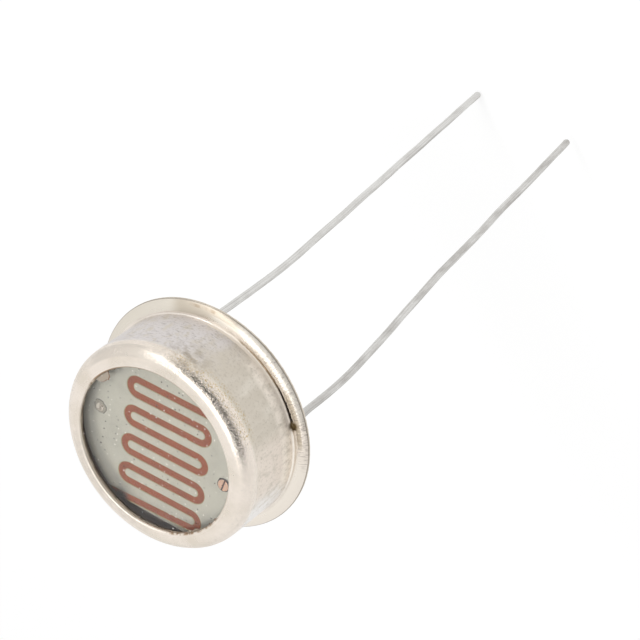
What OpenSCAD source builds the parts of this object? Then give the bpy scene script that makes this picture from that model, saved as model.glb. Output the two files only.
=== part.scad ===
// Photoresistor: a photoconductive cell on a ceramic base, sealed behind a glass
// window in a drawn metal can, with two wire leads through the header.
// Frame: Z is the can's axis and points out of the window, the leads stand on the
// X axis, and Z = 0 is the seating plane under the header.

/* [Can] */
// Outside diameter of the can's wall
can_d = 12.4; // [11:0.1:14]
// Width of the foot flange, outside the wall
flange_w = 0.8; // [0.6:0.05:1]
// Radius of the flange's crowned upper face
flange_crown = 1.1; // [1.1:0.1:4]
// Thickness of the flange at its outer edge
flange_edge = 0.02; // [0.02:0.01:0.1]
// Height of the can, from the header's flange to the top of the rim
can_h = 4.74; // [4.2:0.02:6]
// Sheet thickness of the can
can_sheet = 0.2; // [0.15:0.01:0.25]
// Outside radius of the rim's rolled edge
rim_round = 0.95; // [0.6:0.05:1.1]
// Radius of the fillet between the wall and the foot flange
foot_round = 0.12; // [0.08:0.01:0.3]
// Width of the rim, from the can's outside to the window opening
rim_w = 1.225; // [1.15:0.025:1.6]
// Radius that breaks the sheet's cut edges
edge_round = 0.07; // [0.04:0.01:0.07]

/* [Crease in the foot] */
// Where the crease begins, round the can from the X axis
crease_start_angle = 30; // [25:1:40]
// Where the crease has run out
crease_end_angle = 78; // [60:1:90]
// Depth of the crease at its open end
crease_depth = 0.13; // [0.08:0.01:0.15]
// Radius of the crease's section
crease_round = 0.08; // [0.05:0.01:0.09]
// Length of the chipped pit at the crease's open end
pit_len = 0.34; // [0.2:0.02:0.4]
// Width of the chipped pit
pit_w = 0.3; // [0.2:0.02:0.34]

/* [Header] */
// Thickness of the header's weld flange
header_flange_t = 0.12; // [0.08:0.01:0.25]
// Height of the header's raised body above the seating plane
header_h = 1.3; // [0.9:0.1:1.6]
// Clearance between the raised body and the can's wall
header_gap = 0.3; // [0.2:0.05:0.5]
// Rounding of the raised body's upper edge
header_round = 0.2; // [0.1:0.05:0.3]
// Diameter of a glass bead
bead_d = 1.9; // [1.5:0.1:2.2]
// Depth of the glass below the header's faces
bead_recess = 0.08; // [0.04:0.02:0.2]

/* [Leads] */
// Diameter of the lead wire
lead_d = 0.45; // [0.4:0.05:0.5]
// How far a lead stands in from the can's outside
lead_inset = 1.95; // [1.7:0.05:2.3]
// Direction in which the leads are bent, round the can from the X axis
bend_toward_angle = 150; // [0:5:355]
// How far the wire stands proud where it is bent
bend_swell = 0.005; // [0.003:0.001:0.01]
// Largest turn of one of the small bends that make up a bend
bend_step_angle = 1.8; // [1.2:0.1:3]
// Straight length of a lead under the seating plane, before its first bend
lead_stub = 0.3; // [0.1:0.1:2]
// Angle of the first bend, which is bent back after a short run
first_bend_angle = 8; // [2:1:12]
// Length of wire in the first bend, and in its return
first_bend_len = 1.2; // [0.6:0.1:2]
// Straight length between the first bend and its return
first_run = 2.1; // [1:0.1:5]
// Length of wire in each later bend
late_bend_len = 6; // [3:0.5:8]
// Left lead: straight length after the return
left_mid_run = 5.3; // [3:0.1:12]
// Left lead: angle of its later bend
left_mid_angle = 4.7; // [1:0.1:8]
// Left lead: straight free end
left_end_run = 23.6; // [10:0.1:30]
// Right lead: straight length after the return
right_mid_run = 0.5; // [0.3:0.1:8]
// Right lead: angle of its later bend
right_mid_angle = 7.5; // [1:0.1:8]
// Right lead: straight length before the last bend
right_late_run = 8.3; // [3:0.1:15]
// Right lead: angle of the last bend, back towards the can's axis
right_last_angle = 1.7; // [1:0.1:8]
// Right lead: straight free end
right_end_run = 19.4; // [10:0.1:30]
// Diameter of a lead's upset head
head_d = 0.52; // [0.52:0.02:0.8]
// Height of a lead's upset head
head_h = 0.09; // [0.06:0.01:0.14]
// Width of the notch across the right lead's head
notch_w = 0.07; // [0.04:0.01:0.12]
// Depth of that notch
notch_depth = 0.05; // [0.02:0.01:0.06]
// Direction of that notch, round the lead from the X axis
notch_angle = 84; // [0:1:180]
// Width of the cement collar round a head
collar_w = 0.18; // [0.08:0.01:0.2]
// Height of the cement collar
collar_h = 0.05; // [0.03:0.01:0.06]

/* [Window] */
// Thickness of the window glass
glass_t = 0.5; // [0.4:0.05:0.7]
// How far the glass reaches outside the opening
glass_overlap = 0.42; // [0.3:0.02:0.5]
// Thickness of the sealant between the rim and the glass
seal_t = 0.06; // [0.04:0.01:0.1]
// Width of the sealant's bead inside the opening
seal_bead = 0.13; // [0.08:0.01:0.2]
// Radius of the sealant's drop on the glass
drop_r = 0.42; // [0.3:0.02:0.5]
// Height of the sealant's drop
drop_h = 0.1; // [0.06:0.01:0.14]
// Where the drop lies, round the can from the X axis
drop_angle = 148; // [0:1:360]

/* [Cell] */
// Room round the ceramic base inside the can
ceramic_gap = 0.6; // [0.4:0.05:0.75]
// Depth of each of the ceramic base's two flats
flat_cut = 0.52; // [0.4:0.02:1.2]
// Turn of the flats from the line through the leads
flat_angle = 4.7; // [0:0.1:8]
// Room between the glass and the electrodes
cell_gap = 0.33; // [0.2:0.01:0.5]
// Clearance round a lead in the ceramic base
hole_gap = 0.04; // [0.02:0.01:0.06]
// Thickness of the photoconductive layer
layer_t = 0.03; // [0.02:0.01:0.06]
// Thickness of the electrode film
film_t = 0.03; // [0.02:0.01:0.06]
// Bare border of the ceramic base, outside the layers
film_inset = 0.04; // [0.03:0.01:0.15]

/* [Meander between the electrodes] */
// Number of pairs of straight runs, beside the last run
run_pairs = 4; // [2:1:5]
// Width of the meander
track_w = 0.42; // [0.3:0.02:0.5]
// Width of the thin feathered border of the electrodes
feather_w = 0.045; // [0.02:0.005:0.08]
// Distance from a flat of the ceramic base to the nearest run, if the meander sat midway
run_margin = 1.01; // [0.5:0.01:1.2]
// Width of the left electrode's spine, from the turns to the film's edge
left_spine = 2.73; // [2:0.01:3.2]
// Width of the right electrode's spine
right_spine = 2.26; // [1.9:0.01:3.2]
// How far the meander sits off the can's axis
meander_shift = -0.51; // [-0.55:0.01:0.55]
// Turn of the meander from the line through the leads
meander_angle = 6.1; // [0:0.1:10]
// Turn of the last run away from the others
last_run_angle = 2.3; // [0:0.1:4]

/* [Hidden] */
$fn = 96;
cut = 1;
LEFT = -1;
RIGHT = 1;

can_r = can_d / 2;
flange_r = can_r + flange_w;
window_r = can_r - rim_w;
lead_r = lead_d / 2;
bead_r = bead_d / 2;
lead_x = can_r - lead_inset;

// How far the flange's crowned face has fallen at a distance from the wall
function crown_fall(w) = flange_crown - sqrt(flange_crown * flange_crown - w * w);

// Levels, from the seating plane up
can_foot = header_flange_t;
flange_top = can_foot + flange_edge + crown_fall(flange_w);
rim_top = can_foot + can_h;
rim_under = rim_top - can_sheet;
glass_top = rim_under - seal_t;
glass_under = glass_top - glass_t;
film_top = glass_under - cell_gap;
layer_top = film_top - film_t;
ceramic_top = layer_top - layer_t;

header_r = can_r - can_sheet - header_gap;
glass_r = window_r + glass_overlap;
ceramic_r = can_r - can_sheet - ceramic_gap;
ceramic_flats = 2 * (ceramic_r - flat_cut);
film_r = ceramic_r - film_inset;
film_flats = ceramic_flats - 2 * film_inset;
hole_r = lead_r + hole_gap;
collar_r = head_d / 2 + collar_w;

// The meander's centre line, in its own turned frame
run_count = 2 * run_pairs + 1;
run_pitch = (ceramic_flats - 2 * run_margin) / (run_count - 1);
turn_r = run_pitch / 2;
left_turn_x = turn_r + track_w / 2 + left_spine - film_r;
right_turn_x = film_r - right_spine - turn_r - track_w / 2;
beyond = 3 * ceramic_r;
function run_y(i) = meander_shift + (run_count - 1) / 2 * run_pitch - i * run_pitch;
function turn_point(i, a) = i % 2 == 0
    ? [left_turn_x - turn_r * cos(a), run_y(i) - turn_r + turn_r * sin(a)]
    : [right_turn_x + turn_r * cos(a), run_y(i) - turn_r + turn_r * sin(a)];
last_run_start = [right_turn_x, run_y(run_count - 1)];
centre_line = concat(
    [[beyond, run_y(0)]],
    [for (i = [0 : run_count - 2]) for (a = [90 : -45 : -90]) turn_point(i, a)],
    [last_run_start - beyond * [cos(last_run_angle), sin(last_run_angle)]]
);

// Square from one corner to the other
module span(x0, x1, y0, y1) {
    translate([x0, y0]) square([x1 - x0, y1 - y0]);
}

// Half section of a flat ring whose outer edge is broken by a small radius
module ring_section(r, y0, y1, round_r) {
    span(0, r - round_r, y0, y1);
    span(0, r, y0 + round_r, y1 - round_r);
    for (y = [y0 + round_r, y1 - round_r]) translate([r - round_r, y]) circle(round_r);
}

// Half section of a closed cup, mouth down, with a rounded upper edge
module cup_section(r, y0, y1, round_r) {
    span(0, r, y0, y1 - round_r);
    span(0, r - round_r, y0, y1);
    translate([r - round_r, y1 - round_r]) circle(round_r);
}

// Corner that a fillet leaves between a wall and a flange above it
module fillet_corner(x, y, round_r) {
    difference() {
        span(x, x + round_r, y, y + round_r);
        translate([x + round_r, y + round_r]) circle(round_r);
    }
}

// Hollow inside the can, with the sheet's bend at the foot
module cavity_section() {
    cup_section(can_r - can_sheet, can_foot - cut, rim_under, rim_round - can_sheet);
    fillet_corner(can_r - can_sheet, can_foot, foot_round + can_sheet);
}

// Half section of the foot flange, highest at the wall and thin at its edge
module flange_section() {
    intersection() {
        span(0, flange_r, can_foot, flange_top);
        translate([can_r, flange_top - flange_crown]) circle(flange_crown);
    }
}

module can_section() {
    difference() {
        union() {
            cup_section(can_r, can_foot, rim_top, rim_round);
            flange_section();
            fillet_corner(can_r, flange_top - 2 * crown_fall(foot_round), foot_round);
        }
        cavity_section();
        span(0, window_r, rim_under - cut, rim_top + cut);
        difference() {
            span(window_r - edge_round, window_r + edge_round, rim_top - edge_round, rim_top + cut);
            translate([window_r + edge_round, rim_top - edge_round]) circle(edge_round);
        }
    }
}

// Groove at the fillet's foot, tilted so that it runs out at its far end
module crease() {
    crease_r = can_r + foot_round;
    span_a = crease_end_angle - crease_start_angle;
    tilt = asin(crease_depth / (crease_r * sin(span_a)));
    translate([0, 0, flange_top + crease_round])
        rotate([0, 0, crease_end_angle]) rotate([tilt, 0, 0]) rotate([0, 0, -span_a])
            rotate_extrude(angle = span_a) translate([crease_r, 0]) circle(crease_round, $fn = 24);
}

// Chipped pit where the crease is widest
module pit() {
    pit_r = can_r + foot_round;
    rotate([0, 0, crease_start_angle]) translate([pit_r, -pit_len / 2, flange_top + crease_depth / 2])
        rotate([0, 35, -12]) cube([pit_w, pit_len, 2 * crease_depth], center = true);
}

module can() {
    color("#d8d0c4") difference() {
        rotate_extrude() can_section();
        crease();
        pit();
    }
}

module glass_section() {
    ring_section(glass_r, glass_under, glass_top, edge_round);
}

module window_glass() {
    color("#cfe0dc", 0.35) rotate_extrude() glass_section();
}

// Half section of the sealant round the glass, with a hollow bead inside the opening
module seal_section() {
    difference() {
        union() {
            intersection() {
                cavity_section();
                span(window_r, can_r, glass_under, rim_under);
            }
            span(window_r - seal_bead, window_r, glass_top, glass_top + seal_bead);
        }
        glass_section();
        translate([window_r - seal_bead, glass_top + seal_bead]) circle(seal_bead);
    }
}

// Flat drop of sealant on the glass, against the opening's edge
module seal_drop() {
    ball_r = (drop_r * drop_r + drop_h * drop_h) / (2 * drop_h);
    intersection() {
        rotate([0, 0, drop_angle])
            translate([window_r - seal_bead, 0, glass_top + drop_h - ball_r]) sphere(ball_r);
        translate([0, 0, glass_top]) cylinder(r = window_r, h = drop_h);
    }
}

module window_seal() {
    color("#8a6b52") {
        rotate_extrude() seal_section();
        seal_drop();
    }
}

module header() {
    color("#cfc9bf") difference() {
        rotate_extrude() {
            ring_section(flange_r, 0, header_flange_t, header_flange_t / 3);
            cup_section(header_r, 0, header_h, header_round);
        }
        for (side = [LEFT, RIGHT]) translate([side * lead_x, 0, -cut])
            cylinder(r = bead_r, h = header_h + 2 * cut);
    }
}

module bead(side) {
    color("#2f3a38") translate([side * lead_x, 0, bead_recess]) difference() {
        cylinder(r = bead_r, h = header_h - 2 * bead_recess);
        translate([0, 0, -cut]) cylinder(r = lead_r, h = header_h + 2 * cut);
    }
}

// One straight run of wire down from the origin, and what follows it
module wire_run(length) {
    translate([0, 0, -length]) {
        cylinder(r = lead_r, h = length);
        children();
    }
}

// One bend of the wire towards +X, as small bends with a ball at each, and what follows it
module wire_bend(angle, length, i = 0) {
    steps = ceil(abs(angle) / bend_step_angle);
    sphere(lead_r + bend_swell);
    rotate([0, -angle / steps, 0])
        if (i < steps - 1)
            wire_run(length / (steps - 1)) wire_bend(angle, length, i + 1) children();
        else
            children();
}

// What is left of a lead after its first bend: runs with a bend after each, and the free end
module wire_path(bends, end_run, i = 0) {
    if (i < len(bends))
        wire_run(bends[i][0]) wire_bend(bends[i][1], late_bend_len) wire_path(bends, end_run, i + 1);
    else
        wire_run(end_run) wire_tip();
}

// Free end of the wire, cut and rounded
module wire_tip() {
    sphere(lead_r);
}

// Head upset on the wire over the electrode
module lead_head(notched) {
    translate([0, 0, film_top]) difference() {
        rotate_extrude() ring_section(head_d / 2, 0, head_h, head_h / 3);
        if (notched) rotate([0, 0, notch_angle])
            translate([-head_d, -notch_w / 2, head_h - notch_depth]) cube([2 * head_d, notch_w, cut]);
    }
}

module lead(side, bends, end_run) {
    color("#c9c8c6") translate([side * lead_x, 0, 0]) {
        lead_head(side == RIGHT);
        cylinder(r = lead_r, h = film_top);
        rotate([0, 0, bend_toward_angle])
            wire_run(lead_stub) wire_bend(first_bend_angle, first_bend_len)
            wire_run(first_run) wire_bend(-first_bend_angle, first_bend_len)
            wire_path(bends, end_run);
    }
}

module contact(side) {
    color("#7c6a5c") translate([side * lead_x, 0, film_top]) difference() {
        rotate_extrude() ring_section(collar_r, 0, collar_h, collar_h / 3);
        translate([0, 0, -cut]) cylinder(r = head_d / 2, h = collar_h + 2 * cut);
    }
}

// Disc with two flats and the leads' holes
module flatted_disc(r, flats, h, hole) {
    difference() {
        intersection() {
            cylinder(r = r, h = h);
            rotate([0, 0, flat_angle]) translate([-r, -flats / 2, 0]) cube([2 * r, flats, h]);
        }
        for (side = [LEFT, RIGHT]) translate([side * lead_x, 0, -cut])
            cylinder(r = hole, h = h + 2 * cut);
    }
}

module ceramic_base() {
    color("#e8e4d8") translate([0, 0, header_h])
        flatted_disc(ceramic_r, ceramic_flats, ceramic_top - header_h, hole_r);
}

module photo_layer() {
    color("#b4664f") translate([0, 0, ceramic_top])
        flatted_disc(film_r, film_flats, layer_t, hole_r);
}

// Half ring of one turn, on the left after even runs and on the right after odd ones
module turn_outline(i, w) {
    left = i % 2 == 0;
    outer = turn_r + w / 2;
    translate([left ? left_turn_x : right_turn_x, run_y(i) - turn_r]) difference() {
        circle(outer);
        circle(turn_r - w / 2);
        span(left ? 0 : -outer - cut, left ? outer + cut : 0, -outer - cut, outer + cut);
    }
}

// Outline of the meander: the first run leaves on the right, the last on the left
module meander_outline(w) {
    for (i = [0 : run_count - 2]) {
        span(left_turn_x, i == 0 ? beyond : right_turn_x, run_y(i) - w / 2, run_y(i) + w / 2);
        turn_outline(i, w);
    }
    translate(last_run_start) {
        circle(w / 2);
        rotate(last_run_angle) span(-beyond, 0, -w / 2, w / 2);
    }
}

// What lies on one side of the meander's centre line
module side_of_line(side) {
    corner = side == LEFT ? [-beyond, beyond] : [beyond, -beyond];
    polygon(concat(centre_line, [corner]));
}

// Film on one side of the meander: a thin feathered border under the full film
module electrode(side) {
    color("#b9b8ab") translate([0, 0, layer_top])
        for (step = [[track_w, film_t / 2], [track_w + 2 * feather_w, film_t]])
            difference() {
                intersection() {
                    flatted_disc(film_r, film_flats, step[1], hole_r);
                    rotate([0, 0, meander_angle]) linear_extrude(step[1]) side_of_line(side);
                }
                rotate([0, 0, meander_angle]) translate([0, 0, -cut])
                    linear_extrude(step[1] + 2 * cut) meander_outline(step[0]);
            }
}

module bead_left() { bead(LEFT); }
module bead_right() { bead(RIGHT); }
module lead_left() {
    lead(LEFT, [[left_mid_run, left_mid_angle]], left_end_run);
}
module lead_right() {
    lead(RIGHT, [[right_mid_run, right_mid_angle], [right_late_run, -right_last_angle]], right_end_run);
}
module contact_left() { contact(LEFT); }
module contact_right() { contact(RIGHT); }
module electrode_left() { electrode(LEFT); }
module electrode_right() { electrode(RIGHT); }

can();
window_glass();
window_seal();
header();
bead_left();
bead_right();
lead_left();
lead_right();
contact_left();
contact_right();
ceramic_base();
photo_layer();
electrode_left();
electrode_right();
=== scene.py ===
"""Looks, light and camera for a photoresistor in a metal can.

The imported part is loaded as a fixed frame. Z is the can's axis and points out of the window,
the leads stand on the X axis, and Z = 0 is the seating plane under the header. Sizes here are
in millimetres and become metres where a mesh, lamp or camera is made. Angles round the can are
in degrees from +X.
"""

import logging
import math
from collections.abc import Callable
from dataclasses import dataclass, field
from enum import Enum

import bmesh
import bpy
from mathutils import Matrix, Quaternion, Vector, noise


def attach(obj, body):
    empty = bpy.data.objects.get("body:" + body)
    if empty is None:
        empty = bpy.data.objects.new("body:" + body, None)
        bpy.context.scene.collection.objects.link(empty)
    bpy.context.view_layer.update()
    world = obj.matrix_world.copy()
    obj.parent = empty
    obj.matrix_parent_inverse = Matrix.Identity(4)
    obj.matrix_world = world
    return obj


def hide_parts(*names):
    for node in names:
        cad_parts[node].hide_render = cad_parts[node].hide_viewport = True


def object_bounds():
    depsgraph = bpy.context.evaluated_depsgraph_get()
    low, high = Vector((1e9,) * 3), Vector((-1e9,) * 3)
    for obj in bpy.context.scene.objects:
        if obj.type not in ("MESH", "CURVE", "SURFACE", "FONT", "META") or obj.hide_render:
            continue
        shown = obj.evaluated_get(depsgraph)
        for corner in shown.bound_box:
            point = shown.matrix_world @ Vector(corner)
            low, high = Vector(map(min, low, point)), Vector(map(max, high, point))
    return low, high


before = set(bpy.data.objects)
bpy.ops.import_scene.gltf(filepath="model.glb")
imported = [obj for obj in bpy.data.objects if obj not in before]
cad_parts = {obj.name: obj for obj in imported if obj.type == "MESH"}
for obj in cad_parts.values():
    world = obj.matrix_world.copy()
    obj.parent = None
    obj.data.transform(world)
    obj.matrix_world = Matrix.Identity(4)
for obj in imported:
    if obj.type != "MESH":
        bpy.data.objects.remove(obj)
CAD_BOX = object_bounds()

MM = 0.001
BODY = "root"
WHITE = (1.0, 1.0, 1.0, 1.0)
CRISP = math.radians(38)
DOWN = Vector((0, 0, -1))
LEVEL = (1, 1, 0)
SQUARE = ((-1, -1), (1, -1), (1, 1), (-1, 1))
# Fills up a place in the noise that is given by fewer than three numbers.
NOISE_REST = (0.37, 0.73, 0.19)
log = logging.getLogger("photoresistor")

Socket = bpy.types.NodeSocket
Tree = bpy.types.NodeTree
Coat = tuple[Socket, str]
Point = tuple[float, float, float]
Profile = tuple[float, float]
# The low and high end of a stretch, and the width over which it fades out beyond them.
Bound = tuple[float, float, float]
# The arguments of Place.clouds and of Place.near.
Patches = tuple[float | Point, ...]
Spot = tuple[Point, float]
LEFT_HALF: Bound = (-9.0, 0.0, 0.1)
RIGHT_HALF: Bound = (0.0, 9.0, 0.1)


class Blend(int, Enum):
    """Numbers of the Mix node's colour sockets."""

    FACTOR = 0
    FIRST = 6
    SECOND = 7
    RESULT = 2


class Range(int, Enum):
    """Numbers of the Map Range node's sockets."""

    VALUE = 0
    FROM_LOW = 1
    FROM_HIGH = 2
    TO_LOW = 3
    TO_HIGH = 4


class Side(int, Enum):
    """The two leads, by the sign of their X."""

    LEFT = -1
    RIGHT = 1


@dataclass(frozen=True)
class Sizes:
    """Sizes of the part that several pieces or finishes share."""

    lead_x: float = 4.25
    wire_r: float = 0.225
    head_r: dict[Side, float] = field(default_factory=lambda: {Side.LEFT: 0.26, Side.RIGHT: 0.35})
    head_slot_angle: float = 84.0
    film_top: float = 3.77
    glass_top: float = 4.6
    rim_under: float = 4.66
    window_r: float = 4.975
    flange_r: float = 7.0


PART = Sizes()


def linear(hex_colour: str) -> tuple[float, float, float, float]:
    """Turns an sRGB hex colour into linear RGBA.

    Args:
        hex_colour: the colour as "#RRGGBB".

    Returns:
        Linear red, green, blue and an alpha of 1.
    """
    channels = [int(hex_colour[i:i + 2], 16) / 255 for i in (1, 3, 5)]
    red, green, blue = (
        c / 12.92 if c <= 0.04045 else ((c + 0.055) / 1.055) ** 2.4 for c in channels
    )
    return red, green, blue, 1.0


def add_node(
    tree: Tree, kind: str, inputs: dict | None = None, out: int | str = 0, **settings: object,
) -> Socket:
    """Adds one node with its settings and links.

    Args:
        tree: the node tree that takes the node.
        kind: the node's type, without its "ShaderNode" prefix.
        inputs: socket name or number to a value, or to the socket that feeds it.
        out: the output that is returned.
        settings: properties of the node itself.

    Returns:
        The output socket, or the node's first input where it has no output.
    """
    node = tree.nodes.new("ShaderNode" + kind)
    for key, value in settings.items():
        setattr(node, key, value)
    for key, value in (inputs or {}).items():
        if isinstance(value, Socket):
            tree.links.new(value, node.inputs[key])
        else:
            node.inputs[key].default_value = value
    return node.outputs[out] if node.outputs else node.inputs[0]


def blank_tree(owner: bpy.types.Material | bpy.types.World) -> Tree:
    """Gives the emptied node tree of a material or a world.

    Args:
        owner: the material or world.

    Returns:
        Its node tree, with nothing in it.
    """
    owner.use_nodes = True
    owner.node_tree.nodes.clear()
    return owner.node_tree


def new_material(name: str, shader: Callable[[Tree], Socket]) -> bpy.types.Material:
    """Makes a material.

    Args:
        name: the material's name.
        shader: adds the material's nodes to its tree and returns the shader.

    Returns:
        The material.
    """
    material = bpy.data.materials.new(name)
    tree = blank_tree(material)
    add_node(tree, "OutputMaterial", {"Surface": shader(tree)})
    return material


def add_object(name: str, data: bpy.types.ID) -> bpy.types.Object:
    """Makes an object of a mesh, lamp or camera and puts it into the scene.

    Args:
        name: the object's name.
        data: the mesh, lamp or camera.

    Returns:
        The object.
    """
    made = bpy.data.objects.new(name, data)
    bpy.context.scene.collection.objects.link(made)
    return made


def ramp(value: float, start: float, end: float) -> float:
    """Rises smoothly from 0 at start to 1 at end."""
    share = min(max((value - start) / (end - start), 0.0), 1.0)
    return share * share * (3 - 2 * share)


def ripple(*where: float) -> float:
    """Gives a smooth uneven value from -1 to 1 that is the same on each run."""
    return noise.noise(Vector((where + NOISE_REST)[:3]))


def ripple_round(angle: float, pace: float, *more: float) -> float:
    """Gives an uneven value that closes up once round, with more waves at a higher pace."""
    turn = math.radians(angle)
    return ripple(pace * math.cos(turn), pace * math.sin(turn), *more)


def arc(centre: Profile, radius: float, start: float, end: float, steps: int) -> list[Profile]:
    """Gives points on an arc of a section.

    Args:
        centre: the arc's centre, as distance from the axis and height.
        radius: its radius.
        start: its first angle in degrees, 0 outwards and 90 up.
        end: its last angle.
        steps: the number of points less one.

    Returns:
        The points, from the first angle to the last.
    """
    turns = [math.radians(start + (end - start) * i / steps) for i in range(steps + 1)]
    return [(centre[0] + radius * math.cos(t), centre[1] + radius * math.sin(t)) for t in turns]


def line(start: Profile, end: Profile, steps: int) -> list[Profile]:
    """Gives points between two points of a section, without those two."""
    shares = [i / steps for i in range(1, steps)]
    return [
        (start[0] + (end[0] - start[0]) * k, start[1] + (end[1] - start[1]) * k) for k in shares
    ]


def round_steps(coarse: float, fine: float, start: float, end: float) -> list[float]:
    """Gives angles round the can in degrees, with finer steps in one sector.

    Args:
        coarse: the step outside the sector.
        fine: the step inside it.
        start: where the sector begins.
        end: where it ends.

    Returns:
        The angles, once round.
    """
    inner = round((end - start) / fine)
    outer = round((360 - end + start) / coarse)
    steps = [start + (end - start) * i / inner for i in range(inner)]
    return steps + [end + (360 - end + start) * i / outer for i in range(outer)]


def turned(angle: float, r: float, z: float, x: float = 0.0) -> Vector:
    """Gives the point of a section turned to an angle in degrees, round an upright axis at x."""
    turn = math.radians(angle)
    return Vector((x + r * math.cos(turn), r * math.sin(turn), z))


def grid_faces(rows: int, columns: int, closed: bool) -> list[tuple[int, ...]]:
    """Gives the faces of a grid whose columns close round on themselves.

    Args:
        rows: the number of rows of points.
        columns: the number of points in a row.
        closed: whether the last row joins the first; otherwise both are capped.

    Returns:
        The faces as point numbers.
    """
    faces = [
        (r * columns + c, r * columns + (c + 1) % columns,
         (r + 1) % rows * columns + (c + 1) % columns, (r + 1) % rows * columns + c)
        for r in range(rows if closed else rows - 1) for c in range(columns)
    ]
    if not closed:
        faces.append(tuple(range(columns)))
        faces.append(tuple(range((rows - 1) * columns, rows * columns)))
    return faces


@dataclass(frozen=True)
class Zone:
    """A stretch of the surface: where all that is given here meets.

    Attributes:
        radius: its distance from the can's axis.
        height: its height over the seating plane.
        x: its distance along the line through the leads.
        sector: its angle round the can, in degrees.
        clouds: uneven patches that it is broken into.
        specks: separate specks that it is broken into, as the arguments of Place.specks.
        spot: a point in it and how far it reaches from there.
    """

    radius: Bound | None = None
    height: Bound | None = None
    x: Bound | None = None
    sector: Bound | None = None
    clouds: Patches | None = None
    specks: Point | None = None
    spot: Spot | None = None


Coats = tuple[tuple[str, Zone], ...]
Relief = tuple[tuple[Zone, float], ...]
Inputs = tuple[tuple[str, float], ...]
# A value, or a zone with the value outside it and the value in it.
Graded = float | tuple[Zone, float, float]
# At one end of the cell's last run the films are painted dark: a painted shadow.
BROKEN_CORNER = ("#2C211D", Zone(spot=((-1.8, -4.95, PART.film_top), 0.75)))


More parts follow.
